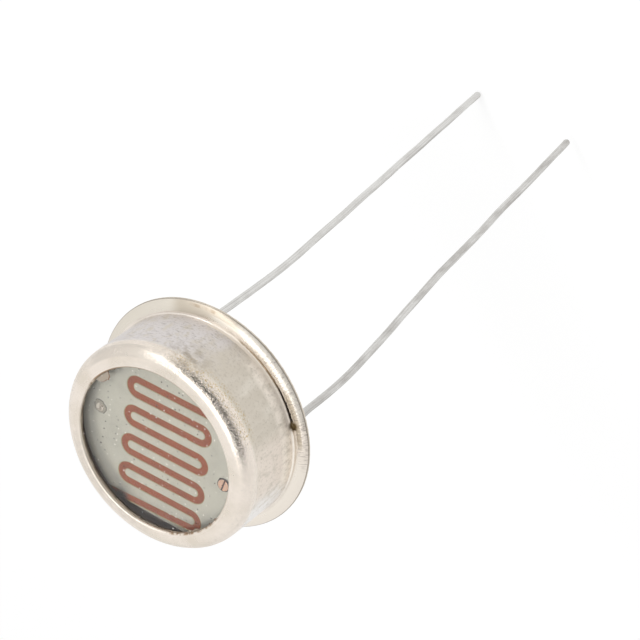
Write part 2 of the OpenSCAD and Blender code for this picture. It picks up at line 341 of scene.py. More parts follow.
@dataclass(frozen=True)
class Place:
    """Where a shaded point lies on the part, with masks made from that.

    Attributes:
        tree: the material's node tree.
        mm: the point in the part's frame, in millimetres.
        x: its distance along the line through the leads, in millimetres.
        height: its height over the seating plane, in millimetres.
        radius: its distance from the can's axis, in millimetres.
        angle: its angle round the axis from +X, in radians from -pi to pi.
        core: the share of a spot's reach over which its mask is full.
        made: the masks of stretches that have been made.
    """

    tree: Tree
    mm: Socket
    x: Socket
    height: Socket
    radius: Socket
    angle: Socket
    core: float = 0.3
    made: dict[tuple[Socket, Bound], Socket] = field(default_factory=dict)

    @classmethod
    def on(cls, tree: Tree) -> "Place":
        """Adds the nodes that find the point.

        Args:
            tree: the material's node tree.

        Returns:
            The sockets that give the point's place.
        """
        metres = add_node(tree, "TexCoord", out="Object")
        mm = add_node(tree, "VectorMath", {0: metres, 1: (1 / MM,) * 3}, operation="MULTIPLY")
        x = add_node(tree, "SeparateXYZ", {0: mm})
        y, height = x.node.outputs["Y"], x.node.outputs["Z"]
        flat = add_node(tree, "VectorMath", {0: mm, 1: LEVEL}, operation="MULTIPLY")
        radius = add_node(tree, "VectorMath", {0: flat}, out="Value", operation="LENGTH")
        angle = add_node(tree, "Math", {0: y, 1: x}, operation="ARCTAN2")
        return cls(tree, mm, x, height, radius, angle)

    def within(self, value: Socket, bound: Bound) -> Socket:
        """Makes a mask, once, that is 1 in a stretch and fades out beyond it.

        Args:
            value: the value that is tested.
            bound: the stretch.

        Returns:
            The mask.
        """
        if (value, bound) not in self.made:
            low, high, soft = bound
            rise = add_node(self.tree, "MapRange", {
                Range.VALUE: value, Range.FROM_LOW: low - soft, Range.FROM_HIGH: low,
            }, interpolation_type="SMOOTHSTEP")
            fall = add_node(self.tree, "MapRange", {
                Range.VALUE: value, Range.FROM_LOW: high, Range.FROM_HIGH: high + soft,
                Range.TO_LOW: 1.0, Range.TO_HIGH: 0.0,
            }, interpolation_type="SMOOTHSTEP")
            self.made[value, bound] = self.both(rise, fall)
        return self.made[value, bound]

    def sector(self, *bound: float) -> Socket:
        """Makes a mask over a sector of the can, from its bound in degrees."""
        return self.within(self.angle, tuple(math.radians(angle) for angle in bound))

    def near(self, point: Point, reach: float) -> Socket:
        """Makes a mask round a point.

        Args:
            point: the point, where the mask is 1.
            reach: the distance in millimetres from which it is 0.

        Returns:
            The mask.
        """
        gap = add_node(
            self.tree, "VectorMath", {0: self.mm, 1: point}, out="Value", operation="DISTANCE",
        )
        return add_node(self.tree, "MapRange", {
            Range.VALUE: gap, Range.FROM_LOW: self.core * reach, Range.FROM_HIGH: reach,
            Range.TO_LOW: 1.0, Range.TO_HIGH: 0.0,
        }, interpolation_type="SMOOTHSTEP")

    def both(self, *masks: Socket) -> Socket:
        """Makes a mask of where all the given masks are.

        Args:
            masks: the given masks.

        Returns:
            The mask.
        """
        result = masks[0]
        for mask in masks[1:]:
            result = add_node(self.tree, "Math", {0: result, 1: mask}, operation="MULTIPLY")
        return result

    def either(self, *masks: Socket) -> Socket:
        """Makes a mask of where any of the given masks is.

        Args:
            masks: the given masks.

        Returns:
            The mask.
        """
        result = masks[0]
        for mask in masks[1:]:
            result = add_node(self.tree, "Math", {0: result, 1: mask}, operation="MAXIMUM")
        return result

    def zone(self, zone: Zone) -> Socket:
        """Makes the mask of a zone.

        Args:
            zone: the zone.

        Returns:
            The mask, which is 1 in the zone.
        """
        stretches = (self.radius, zone.radius), (self.height, zone.height), (self.x, zone.x)
        masks = [self.within(value, bound) for value, bound in stretches if bound]
        kinds = (
            (self.sector, zone.sector), (self.clouds, zone.clouds),
            (self.specks, zone.specks), (self.near, zone.spot),
        )
        return self.both(*masks, *(make(*given) for make, given in kinds if given))

    def graded(self, value: Graded) -> Socket | float:
        """Gives a value that may differ inside a zone.

        Args:
            value: the value, or a zone with the value outside it and the value in it.

        Returns:
            The value, or the socket that gives it.
        """
        if isinstance(value, float):
            return value
        zone, outside, inside = value
        return add_node(self.tree, "MapRange", {
            Range.VALUE: self.zone(zone), Range.TO_LOW: outside, Range.TO_HIGH: inside,
        })

    def clouds(
        self, size: float | Point, low: float, high: float, most: float = 1.0, detail: float = 4.0,
    ) -> Socket:
        """Makes a mask of uneven patches.

        Args:
            size: the patches' size in millimetres, or their sizes along X, Y and Z.
            low: the noise value under which the mask is 0.
            high: the noise value over which it is at its most.
            most: the mask's highest value.
            detail: how far the patches break up into smaller ones.

        Returns:
            The mask.
        """
        sizes = size if isinstance(size, tuple) else (size,) * 3
        scaled = add_node(
            self.tree, "VectorMath", {0: self.mm, 1: tuple(1 / s for s in sizes)}, operation="MULTIPLY",
        )
        value = add_node(self.tree, "TexNoise", {
            "Vector": scaled, "Scale": 1.0, "Detail": detail, "Roughness": 0.6,
        })
        return add_node(self.tree, "MapRange", {
            Range.VALUE: value, Range.FROM_LOW: low, Range.FROM_HIGH: high, Range.TO_HIGH: most,
        })

    def specks(self, spacing: float, size: float, share: float) -> Socket:
        """Makes a mask of separate round specks on a level face.

        Args:
            spacing: the mean distance between possible specks, in millimetres.
            size: a speck's largest radius, in millimetres; the smallest has 0.4 of it.
            share: the share of the places that carry a speck.

        Returns:
            The mask.
        """
        gap = add_node(
            self.tree, "TexVoronoi", {"Vector": self.mm, "Scale": 1 / spacing}, voronoi_dimensions="2D",
        )
        lot = add_node(self.tree, "SeparateColor", {0: gap.node.outputs["Color"]})
        chosen = add_node(self.tree, "Math", {0: lot, 1: share}, operation="LESS_THAN")
        span = add_node(self.tree, "MapRange", {
            Range.VALUE: lot.node.outputs[1],
            Range.TO_LOW: 0.4 * size / spacing, Range.TO_HIGH: size / spacing,
        })
        inside = add_node(self.tree, "Math", {0: gap, 1: span}, operation="LESS_THAN")
        return self.both(chosen, inside)

    def coated(self, base: str, coats: list[Coat]) -> Socket:
        """Lays colours over each other.

        Args:
            base: the lowest colour, as sRGB hex.
            coats: a mask and a colour for each coat, from the lowest up.

        Returns:
            The colour that results.
        """
        colour: Socket | tuple = linear(base)
        for share, tint in coats:
            colour = add_node(
                self.tree, "Mix",
                {Blend.FACTOR: share, Blend.FIRST: colour, Blend.SECOND: linear(tint)},
                out=Blend.RESULT, data_type="RGBA",
            )
        return colour

    def embossed(self, *relief: tuple[Socket, float]) -> Socket:
        """Makes a normal from several reliefs.

        Args:
            relief: each relief's height and its depth in millimetres.

        Returns:
            The normal.
        """
        normal = None
        for height, depth in relief:
            inputs = {"Height": height, "Distance": depth * MM, "Strength": 1.0}
            if normal is not None:
                inputs["Normal"] = normal
            normal = add_node(self.tree, "Bump", inputs)
        return normal


@dataclass(frozen=True)
class Finish:
    """One real material with the surface that its making gave it, and any light or shade painted on it.

    Attributes:
        base: the colour that lies lowest.
        coats: the colours over it from the lowest up, and the zone of each.
        relief: the zones of its unevenness, each with a depth in millimetres.
        extra: other inputs of the shader.
    """

    name: str
    slot: str
    base: str = ""
    coats: Coats = ()
    relief: Relief = ()
    metallic: Graded = 0.0
    roughness: Graded = 0.5
    extra: Inputs = ()

    def material(self) -> bpy.types.Material:
        """Makes the Blender material of this finish, once."""
        made = bpy.data.materials.get(self.name)
        return made or new_material(self.name, lambda tree: self.shader(Place.on(tree)))

    def layers(self, place: Place) -> list[Coat]:
        """Makes the masks of the coats."""
        return [(place.zone(zone), tint) for tint, zone in self.coats]

    def shader(self, place: Place) -> Socket:
        """Adds the finish's own nodes.

        Args:
            place: where a shaded point lies.

        Returns:
            The shader.
        """
        return add_node(place.tree, "BsdfPrincipled", {
            "Base Color": place.coated(self.base, self.layers(place)),
            "Metallic": place.graded(self.metallic), "Roughness": place.graded(self.roughness),
            "Normal": place.embossed(*((place.zone(zone), depth) for zone, depth in self.relief)),
            **dict(self.extra),
        })

    def dress(self, *pieces: bpy.types.Object) -> None:
        """Puts the finish on pieces.

        Args:
            pieces: the pieces.
        """
        for piece in pieces:
            piece.data.materials.clear()
            piece.data.materials.append(self.material())
            log.info("%s wears %s", piece.name, self.name)


def add_piece(
    name: str, rows: list[list[Vector]], node: str, finish: Finish, closed: bool = True,
) -> None:
    """Makes a smooth mesh piece that stands for a CAD node and rides on the part's body.

    Args:
        name: the piece's name.
        rows: its points in millimetres, in rows that each close round on themselves.
        node: the node that it replaces.
        finish: what it is made of.
        closed: whether the last row joins the first; otherwise both are capped.
    """
    faces = grid_faces(len(rows), len(rows[0]), closed)
    mesh = bpy.data.meshes.new(name)
    mesh.from_pydata([point * MM for row in rows for point in row], [], faces)
    form = bmesh.new()
    form.from_mesh(mesh)
    bmesh.ops.recalc_face_normals(form, faces=form.faces)
    form.to_mesh(mesh)
    form.free()
    mesh.polygons.foreach_set("use_smooth", [True] * len(mesh.polygons))
    mesh.set_sharp_from_angle(angle=CRISP)
    mesh.validate()
    piece = add_object(name, mesh)
    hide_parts(node)
    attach(piece, BODY)
    log.info("built %s with %d faces", name, len(faces))
    finish.dress(piece)


class Tint(str, Enum):
    """Colours of the can's plate, of what lies on it, and of the reflection, highlight and shade painted
    on it.
    """

    PLATE = "#ECE2D7"
    WARM_STAIN = "#D6CCBC"
    COOL_STAIN = "#DFDAD8"
    PALE_COOL = "#F5F2EF"
    WALL_GREY = "#E8E2D7"
    WALL_DARK = "#D6CEC1"
    WALL_PALE = "#F8F0E5"
    GOLD = "#BFA364"
    SMUDGE = "#A39785"
    SCORE = "#8E8580"
    SOOT = "#2E2219"
    RUST = "#6B5836"
    LIP = "#B0A294"
    RESIDUE = "#A88F76"
    RIM_SHADE = "#D8CFC4"
    RIM_LINE = "#A69D91"
    FOOT_LINE = "#8E7659"
    FILLET = "#F4EADC"
    FLANGE_LIGHT = "#ECE4D9"
    FLANGE_DULL = "#DFD8CC"
    FLANGE_WARM = "#C6BCAD"
    FLANGE_EDGE = "#E2DBD0"
    RIDGE_SHADE = "#BCB09E"
    INSIDE = "#78645C"


@dataclass(frozen=True)
class NickelPlate(Finish):
    """Nickel plate over drawn steel: a warm satin mirror, stained by storage and handling, and painted
    by sector with reflection, highlight and shade.

    Attributes:
        weld_mm: the distance between the ridges that the weld left across the flange.
        gloss: the roughness where the plate is clean and where it is stained.
        wall_wear: how much rougher drawing left the wall.
        hand_wear: how much rougher handling left the flange's and the window's edge.
    """

    name: str = "nickel_plate_on_drawn_steel"
    slot: str = "nickel_plate"
    base: str = Tint.PLATE
    wall: Bound = (0.7, 3.7, 0.3)
    flange: Bound = (6.4, 7.1, 0.06)
    cool_side: Bound = (85, 150, 25)
    stained: Zone = Zone(clouds=(2.4, 0.42, 0.66, 0.6, 6.0))
    crease: Zone = Zone(radius=(6.18, 6.4, 0.02), height=(0.0, 0.452, 0.015), sector=(26, 72, 4))
    # Where the crease is painted near black, as shade where it is deepest.
    sooted: Bound = (26, 46, 8)
    # Where the fillet at the wall's foot carries a painted highlight, pale and less metallic.
    fillet: Zone = Zone(radius=(6.19, 6.33, 0.02), height=(0.47, 0.68, 0.03), sector=(30, 92, 10))
    pit: Spot = ((5.6, 2.98, 0.41), 0.38)
    ragged_edge: Bound = (PART.window_r - 0.3, PART.window_r + 0.03, 0.09)
    ragged: Patches = (0.3, 0.48, 0.56)
    coats: Coats = (
        (Tint.WARM_STAIN, stained),
        # The wall, lighter and darker by sector as painted reflection, highlight and shade, with painted
        # gold glints on the shoulder, and with mottling, streaks, scores and smudges.
        (Tint.WALL_GREY, Zone(height=wall)),
        (Tint.WALL_DARK, Zone(height=wall, clouds=((1.6, 1.6, 2.2), 0.4, 0.62, 0.9, 6.0))),
        (Tint.WARM_STAIN, Zone(height=wall, clouds=((0.35, 0.35, 2.5), 0.45, 0.75, 0.5))),
        # Painted reflection: a cooler tone from 85 to 150 degrees.
        (Tint.COOL_STAIN, Zone(height=wall, sector=cool_side)),
        # Painted shade from 40 to 74 degrees, broken into patches.
        (Tint.WALL_DARK, Zone(
            height=wall, sector=(40, 74, 10), clouds=((0.8, 0.8, 1.2), 0.25, 0.55, 0.9),
        )),
        # Painted reflection: the plate's lighter colour again from 2 to 22 degrees, and a paler tone
        # from -60 to -10 degrees.
        (Tint.PLATE, Zone(height=wall, sector=(2, 22, 12))),
        (Tint.PALE_COOL, Zone(height=wall, sector=(-60, -10, 14))),
        # Painted highlight low on the wall from 2 to 62 degrees.
        (Tint.WALL_PALE, Zone(
            radius=(5.0, 6.25, 0.04), height=(0.5, 1.2, 0.5), sector=(2, 62, 12),
        )),
        (Tint.WALL_DARK, Zone(height=wall, clouds=((0.45, 0.45, 0.7), 0.5, 0.66, 0.75, 6.0))),
        # Painted glints of gold on the shoulder, in fine patches.
        (Tint.GOLD, Zone(
            height=(3.6, 4.3, 0.25), sector=(42, 88, 12), clouds=(0.08, 0.54, 0.6, 0.8),
        )),
        (Tint.SCORE, Zone(
            height=wall, sector=cool_side, clouds=((0.36, 0.36, 0.06), 0.6, 0.68, 0.65, 2.0),
        )),
        (Tint.WALL_DARK, Zone(
            spot=((1.3, 6.06, 2.8), 2.0), clouds=((0.9, 0.9, 0.7), 0.3, 0.6, 0.9, 6.0),
        )),
        (Tint.SMUDGE, Zone(
            spot=((0.15, 6.2, 3.75), 1.7), clouds=((0.5, 0.5, 0.35), 0.42, 0.62, 0.6, 8.0),
        )),
        (Tint.SMUDGE, Zone(height=wall, clouds=(0.14, 0.52, 0.7, 0.3, 3.0))),
        # The window's edge: the lip painted darker as shade, and residue of the sealant.
        (Tint.LIP, Zone(radius=(4.8, PART.window_r + 0.01, 0.03), height=(4.5, 4.69, 0.03))),
        (Tint.RESIDUE, Zone(radius=ragged_edge, sector=(80, 158, 8), clouds=ragged)),
        (Tint.RESIDUE, Zone(radius=ragged_edge, sector=(-62, -22, 8), clouds=ragged)),
        (Tint.RESIDUE, Zone(
            radius=(PART.window_r - 0.1, PART.window_r + 0.08, 0.03), sector=(50, 150, 10),
        )),
        # The flange and the rim, lighter and darker by sector: painted reflection and painted shade,
        # with a short dark line along the flange's edge.
        (Tint.FLANGE_LIGHT, Zone(radius=flange, sector=(-75, 2, 15))),
        (Tint.FLANGE_DULL, Zone(radius=flange, sector=(95, 175, 15))),
        (Tint.FLANGE_WARM, Zone(radius=flange, sector=(101, 114, 9))),
        (Tint.RIDGE_SHADE, Zone(radius=(6.5, 6.68, 0.06), sector=(20, 42, 7))),
        (Tint.RIM_SHADE, Zone(
            radius=(5.72, 6.12, 0.15), height=(4.3, 4.8, 0.1), sector=(116, 142, 14),
        )),
        (Tint.RIM_SHADE, Zone(
            radius=(5.02, 5.5, 0.12), sector=(-150, -90, 16), clouds=(0.4, 0.3, 0.6, 0.8),
        )),
        (Tint.FLANGE_EDGE, Zone(radius=(6.74, 7.1, 0.06), sector=(36, 78, 14))),
        (Tint.FLANGE_WARM, Zone(radius=(6.7, 7.1, 0.05), sector=(86, 112, 8))),
        (Tint.FOOT_LINE, Zone(
            radius=(6.8, 6.88, 0.05), sector=(97, 107, 4), clouds=(0.4, 0.35, 0.6, 0.5),
        )),
        # A painted highlight on the fillet at the wall's foot, the flange's outer edge line as painted
        # shade, and a dark line along the foot as painted shade.
        (Tint.FILLET, fillet),
        (Tint.RIM_LINE, Zone(radius=(6.97, 7.1, 0.012))),
        (Tint.FOOT_LINE, Zone(
            radius=(6.27, 6.33, 0.03), height=(0.44, 0.52, 0.02), sector=(27, 76, 5),
            clouds=(0.5, 0.3, 0.5, 0.9),
        )),
    )
    # Drawing scores are about 0.02 mm apart; they are drawn at 0.06 to show.
    score_mm: float = 0.06
    grain: Zone = Zone(height=wall, clouds=((0.9, 0.9, score_mm), 0.3, 0.7, 1.0, 2.0))
    grain_depth: float = 0.0025
    # Stretching over the punch lifts grains of about 0.05 mm; they are drawn at 0.06 to show.
    peel_mm: float = 0.06
    peel: Zone = Zone(height=(3.95, 4.66, 0.18), clouds=(peel_mm, 0.5, 0.8, 1.0, 1.0))
    peel_depth: float = 0.012
    weld_mm: float = 0.09
    weld: Zone = Zone(radius=flange, sector=(14, 75, 8))
    weld_depth: float = 0.022
    weld_scratches: Zone = Zone(radius=(6.55, 7.1, 0.08), sector=(12, 60, 12))
    gloss: Profile = (0.24, 0.32)
    wall_wear: float = 0.24
    hand_wear: float = 0.13
    flange_edge: Bound = (6.6, 7.1, 0.12)
    window_edge: Bound = (4.8, PART.window_r + 0.15, 0.05)
    # Where the flange's edge is made less metallic, so that its painted grey shows.
    oxidised: Zone = Zone(radius=(6.84, 7.1, 0.1), sector=(38, 76, 14))
    inside: Bound = (0.2, PART.rim_under - 0.01, 0.005)

    def inward(self, place: Place) -> Socket:
        """Makes a mask of the faces that are turned into the can.

        Args:
            place: where a shaded point lies.

        Returns:
            The mask.
        """
        tree = place.tree
        facing = add_node(tree, "NewGeometry", out="True Normal")
        outward = add_node(tree, "VectorMath", {0: place.mm, 1: LEVEL}, operation="MULTIPLY")
        outward = add_node(tree, "VectorMath", {0: outward}, operation="NORMALIZE")
        outward = add_node(tree, "VectorMath", {0: outward, 1: (0, 0, 1)}, operation="ADD")
        turned_out = add_node(
            tree, "VectorMath", {0: facing, 1: outward}, out="Value", operation="DOT_PRODUCT",
        )
        return add_node(tree, "Math", {0: turned_out, 1: -0.05}, operation="LESS_THAN")

    def ridges(self, place: Place) -> Socket:
        """Makes the uneven ridges that the weld's electrode left across the flange.

        Args:
            place: where a shaded point lies.

        Returns:
            The ridges' height.
        """
        tree, pace = place.tree, PART.flange_r / self.weld_mm
        fan = add_node(tree, "CombineXYZ", {
            "X": add_node(tree, "Math", {0: place.angle, 1: pace}, operation="MULTIPLY"),
            "Y": add_node(tree, "Math", {0: place.radius, 1: 3.0}, operation="MULTIPLY"),
        })
        return add_node(
            tree, "TexNoise", {"Vector": fan, "Scale": 1.0, "Detail": 3.0}, noise_dimensions="2D",
        )

    def shader(self, place: Place) -> Socket:
        """Adds the finish's own nodes.

        Args:
            place: where a shaded point lies.

        Returns:
            The shader.
        """
        tree = place.tree
        in_crease, at_fillet = place.zone(self.crease), place.zone(self.fillet)
        within_can = place.both(self.inward(place), place.within(place.height, self.inside))
        ridges = self.ridges(place)
        scratched = add_node(tree, "MapRange", {
            Range.VALUE: ridges, Range.FROM_LOW: 0.5, Range.FROM_HIGH: 0.7, Range.TO_HIGH: 0.5,
        })
        colour = place.coated(self.base, [
            *self.layers(place),
            (place.both(place.zone(self.weld_scratches), scratched), Tint.SCORE),
            # The crease is painted dark as shade in its groove: brown all along and near black where it
            # is deepest.
            (in_crease, Tint.FOOT_LINE),
            (place.both(in_crease, place.sector(*self.sooted)), Tint.SOOT),
            (place.near(*self.pit), Tint.RUST),
            # The can's inside is painted dark and less metallic, as shade.
            (within_can, Tint.INSIDE),
        ])
        handled = place.either(
            place.within(place.radius, self.flange_edge), place.within(place.radius, self.window_edge),
        )
        rubbed = add_node(tree, "MapRange", {Range.VALUE: handled, Range.TO_HIGH: self.hand_wear})
        roughness = place.graded((self.stained, *self.gloss))
        for wear in (place.graded((Zone(height=self.wall), 0.0, self.wall_wear)), rubbed):
            roughness = add_node(tree, "Math", {0: roughness, 1: wear}, operation="ADD")
        oxidised = place.graded((self.oxidised, 0.0, 0.85))
        dull = place.either(in_crease, within_can, at_fillet, oxidised)
        return add_node(tree, "BsdfPrincipled", {
            "Base Color": colour,
            "Metallic": add_node(
                tree, "MapRange", {Range.VALUE: dull, Range.TO_LOW: 1.0, Range.TO_HIGH: 0.2},
            ),
            "Roughness": roughness,
            "Normal": place.embossed(
                (place.zone(self.grain), self.grain_depth), (place.zone(self.peel), self.peel_depth),
                (place.both(place.zone(self.weld), ridges), self.weld_depth),
            ),
        })


@dataclass(frozen=True)
class HeaderPlate(Finish):
    """Nickel plate over stamped steel: rolling left straight lines, and the press left scuffs."""

    name: str = "nickel_plate_on_stamped_steel"
    slot: str = "header_plate"
    base: str = "#DDD3C5"
    stain: str = "#B9AD9C"
    scuff: str = "#8C8276"
    stained: Zone = Zone(clouds=(2.0, 0.42, 0.7, 0.8, 6.0))
    scuffed: Zone = Zone(height=(-1.0, 0.3, 0.1), clouds=((0.09, 1.6, 1.0), 0.66, 0.74, 0.5, 3.0))
    line_mm: float = 0.08
    rolled: Zone = Zone(clouds=((3.0, line_mm, 3.0), 0.35, 0.7, 1.0, 3.0))
    coats: Coats = ((stain, stained), (scuff, scuffed))
    relief: Relief = ((rolled, 0.002),)
    metallic: Graded = 1.0
    roughness: Graded = (stained, 0.26, 0.42)


@dataclass(frozen=True)
class WindowGlass(Finish):
    """Clear sheet glass: refracts the cell under it, and carries dust and specks on its outer face."""

    name: str = "sheet_glass_clear"
    slot: str = "window_glass"
    glass: str = "#FBFCFA"
    dust: str = "#F2EEE6"
    dirt: str = "#4A4540"
    face: Bound = (PART.glass_top - 0.002, PART.glass_top + 0.098, 0.0005)

    def shader(self, place: Place) -> Socket:
        """Adds the finish's own nodes.

        Args:
            place: where a shaded point lies.

        Returns:
            The shader.
        """
        tree = place.tree
        on_face = place.within(place.height, self.face)
        glass = add_node(tree, "BsdfPrincipled", {
            "Base Color": linear(self.glass), "Roughness": 0.01, "IOR": 1.5, "Transmission Weight": 1.0,
        })
        clear = add_node(tree, "BsdfTransparent")
        shadow = add_node(tree, "LightPath", out="Is Shadow Ray")
        bare = add_node(tree, "MixShader", {0: shadow, 1: glass, 2: clear})
        pale = add_node(tree, "BsdfPrincipled", {"Base Color": linear(self.dust), "Roughness": 0.8})
        dark = add_node(tree, "BsdfPrincipled", {"Base Color": linear(self.dirt), "Roughness": 0.7})
        # Dust grains are 0.01 to 0.05 mm; the smallest are drawn at 0.03 so that they show.
        white_specks = place.both(on_face, place.specks(0.42, 0.045, 0.28))
        dark_specks = place.both(on_face, place.specks(0.57, 0.05, 0.16))
        dusty = add_node(tree, "MixShader", {0: white_specks, 1: bare, 2: pale})
        return add_node(tree, "MixShader", {0: dark_specks, 1: dusty, 2: dark})


@dataclass(frozen=True)
class SealantResin(Finish):
    """Cured resin: brown, half clear and glossy where it flowed, coppery in the one thick drop."""

    name: str = "sealant_resin_cured"
    slot: str = "sealant"
    base: str = "#80705F"
    thin: str = "#B0A290"
    under: str = "#C4BAAE"
    drop: str = "#D6C3B2"
    drop_pale: str = "#F0E6DA"
    drop_rim: str = "#93705A"
    drop_at: Spot = ((-4.08, 2.55, 4.67), 1.0)
    coats: Coats = (
        (thin, Zone(clouds=(0.5, 0.4, 0.62))),
        (drop, Zone(spot=drop_at)),
        # Painted highlights on the drop, as pale patches.
        (drop_pale, Zone(spot=drop_at, clouds=(0.2, 0.52, 0.6, 0.9))),
        (thin, Zone(spot=drop_at, clouds=(0.16, 0.36, 0.42, 0.9))),
        (drop_rim, Zone(spot=drop_at, height=(4.0, PART.glass_top + 0.03, 0.02))),
        # The resin under the rim is painted pale, standing in for light, so that the film mirrors it
        # brighter.
        (under, Zone(radius=(5.0, 9.0, 0.02))),
    )
    relief: Relief = ((Zone(clouds=(0.12, 0.3, 0.7)), 0.012),)
    roughness: Graded = 0.12
    extra: Inputs = (("IOR", 1.5),)


@dataclass(frozen=True)
class BeadGlass(Finish):
    """Fused sealing glass: near black, wet-looking, with a few frozen bubbles."""

    name: str = "sealing_glass_fused"
    slot: str = "seal_glass"
    base: str = "#1C2725"
    swirl: str = "#2E3B37"
    bubble: str = "#5C6B66"
    swirled: Zone = Zone(clouds=(0.5, 0.4, 0.7, 0.5))
    coats: Coats = ((swirl, swirled), (bubble, Zone(specks=(0.2, 0.04, 0.3))))
    relief: Relief = ((swirled, 0.01),)
    roughness: Graded = 0.08
    extra: Inputs = (("IOR", 1.52),)


@dataclass(frozen=True)
class TinnedWire(Finish):
    """Tinned copper wire: pale grey and soft, with lines along it from the drawing die."""

    name: str = "tinned_copper_wire_drawn"
    slot: str = "tinned_wire"
    base: str = "#DEDDDA"
    line: str = "#9C9995"
    dull: str = "#C8C6C2"
    shade: str = "#A29E99"
    tan: str = "#D8CDC2"
    tan_dark: str = "#9D8F80"
    copper: str = "#E2B79F"
    slot_dark: str = "#7A5040"
    slot_half: float = 0.03
    head: Bound = (3.76, 9.0, 0.005)
    blotched: Zone = Zone(height=head, x=LEFT_HALF, clouds=(0.22, 0.46, 0.6, 0.8, 2.0))
    # The right lead is darker than the left, in patches.
    tarnished: Zone = Zone(x=RIGHT_HALF, clouds=((0.5, 0.5, 2.2), 0.38, 0.64, 0.6, 4.0))
    # One side of the wire is painted darker in patches: painted shade.
    thin_side: Bound = (math.radians(-60), math.radians(-2), math.radians(35))
    thinned: Patches = ((1.5, 1.5, 3.0), 0.35, 0.6, 0.9, 3.0)

    def slotted(self, place: Place) -> Socket:
        """Makes a mask of the slot across the right lead's head.

        Args:
            place: where a shaded point lies.

        Returns:
            The mask.
        """
        cut = math.radians(PART.head_slot_angle)
        middle = PART.lead_x * math.sin(cut)
        across = (math.sin(cut), -math.cos(cut), 0)
        aside = add_node(
            place.tree, "VectorMath", {0: place.mm, 1: across}, out="Value", operation="DOT_PRODUCT",
        )
        return place.within(aside, (middle - self.slot_half, middle + self.slot_half, 0.015))

    def shader(self, place: Place) -> Socket:
        """Adds the finish's own nodes.

        Args:
            place: where a shaded point lies.

        Returns:
            The shader.
        """
        tree = place.tree
        nx = add_node(tree, "SeparateXYZ", {0: add_node(tree, "NewGeometry", out="Normal")})
        round_wire = add_node(tree, "Math", {0: nx.node.outputs["Y"], 1: nx}, operation="ARCTAN2")
        # Die lines are about 0.01 mm apart; they are drawn at about 0.05 mm to show.
        along = add_node(tree, "CombineXYZ", {
            "X": add_node(tree, "Math", {0: round_wire, 1: 4.5}, operation="MULTIPLY"),
            "Y": add_node(tree, "Math", {0: place.height, 1: 0.08}, operation="MULTIPLY"),
        })
        drawn = add_node(tree, "TexNoise", {"Vector": along, "Scale": 1.0, "Detail": 2.0})
        lined = add_node(tree, "MapRange", {
            Range.VALUE: drawn, Range.FROM_LOW: 0.5, Range.FROM_HIGH: 0.68, Range.TO_HIGH: 0.6,
        })
        dulled = place.clouds((0.6, 0.6, 1.4), 0.45, 0.7, 0.6, 5.0)
        # Painted shade along one side of the wire, in patches.
        thin = place.both(place.within(round_wire, self.thin_side), place.clouds(*self.thinned))
        right_head = place.zone(Zone(height=self.head, x=RIGHT_HALF))
        colour = place.coated(self.base, [
            (dulled, self.dull),
            (place.zone(self.tarnished), self.shade),
            (thin, self.shade),
            (lined, self.line),
            (place.within(place.height, self.head), self.tan),
            (right_head, self.copper),
            (place.zone(self.blotched), self.tan_dark),
            (place.both(right_head, self.slotted(place)), self.slot_dark),
        ])
        return add_node(tree, "BsdfPrincipled", {
            "Base Color": colour, "Metallic": 1.0,
            "Roughness": add_node(
                tree, "MapRange", {Range.VALUE: dulled, Range.TO_LOW: 0.24, Range.TO_HIGH: 0.4},
            ),
            "Normal": place.embossed((drawn, 0.004)),
        })


@dataclass(frozen=True)
class ContactCement(Finish):
    """Conductive cement: dark resin with metal flakes that glint."""

    name: str = "contact_cement_flaked"
    slot: str = "contact_cement"
    base: str = "#938B7D"
    edge: str = "#3E352E"
    flake: str = "#A49A8C"
    flaked: Zone = Zone(specks=(0.05, 0.02, 0.4))
    coats: Coats = (
        (flake, flaked),
        (edge, Zone(height=(PART.film_top - 0.1, PART.film_top + 0.02, 0.012))),
        (edge, Zone(x=RIGHT_HALF)),
    )
    relief: Relief = ((Zone(clouds=(0.08, 0.3, 0.7)), 0.01),)
    metallic: Graded = (flaked, 0.0, 1.0)
    roughness: Graded = 0.45


@dataclass(frozen=True)
class FiredCeramic(Finish):
    """Fired, unglazed ceramic: chalky and grey in the can's shade, with a fine grit."""

    name: str = "ceramic_fired_unglazed"
    slot: str = "ceramic"
    base: str = "#6E675E"
    grit: str = "#57514A"
    grit_mm: float = 0.12
    gritty: Zone = Zone(clouds=(grit_mm, 0.4, 0.7, 1.0, 3.0))
    coats: Coats = ((grit, gritty),)
    relief: Relief = ((gritty, 0.006),)
    roughness: Graded = 0.75


@dataclass(frozen=True)
class PhotoFilm(Finish):
    """Sintered photoconductor: matt orange-brown with a fine crystalline grain."""

    name: str = "photoconductor_sintered"
    slot: str = "photoconductor"
    base: str = "#88390A"
    dark: str = "#70300B"
    light: str = "#964718"
    grain_mm: float = 0.12
    grain: Zone = Zone(clouds=(grain_mm, 0.4, 0.7, 0.7, 3.0))
    # The last coat is the painted shadow at one end of the last run.
    coats: Coats = ((dark, Zone(clouds=(0.9, 0.45, 0.7, 0.6))), (light, grain), BROKEN_CORNER)
    relief: Relief = ((grain, 0.004),)
    roughness: Graded = 0.6
    extra: Inputs = (("Specular IOR Level", 0.15),)


@dataclass(frozen=True)
class ElectrodeFilm(Finish):
    """Evaporated metal film: a grey-green half mirror that thins to pale yellow at its edge."""

    name: str = "metal_film_evaporated"
    slot: str = "electrode_film"
    base: str = "#C6C1B4"
    patch: str = "#B6B1A5"
    speck: str = "#6C6862"
    feather: str = "#A29570"
    thin: Zone = Zone(height=(3.0, PART.film_top - 0.006, 0.002))
    grain: Zone = Zone(clouds=(0.1, 0.3, 0.7))
    coats: Coats = (
        (patch, Zone(clouds=(1.5, 0.4, 0.68, 0.8, 5.0))), (speck, Zone(specks=(0.5, 0.05, 0.25))),
        # The last coat is the painted shadow at one end of the last run.
        (feather, thin), BROKEN_CORNER,
    )
    relief: Relief = ((grain, 0.001),)
    metallic: Graded = (thin, 0.55, 0.1)
    roughness: Graded = (grain, 0.28, 0.42)


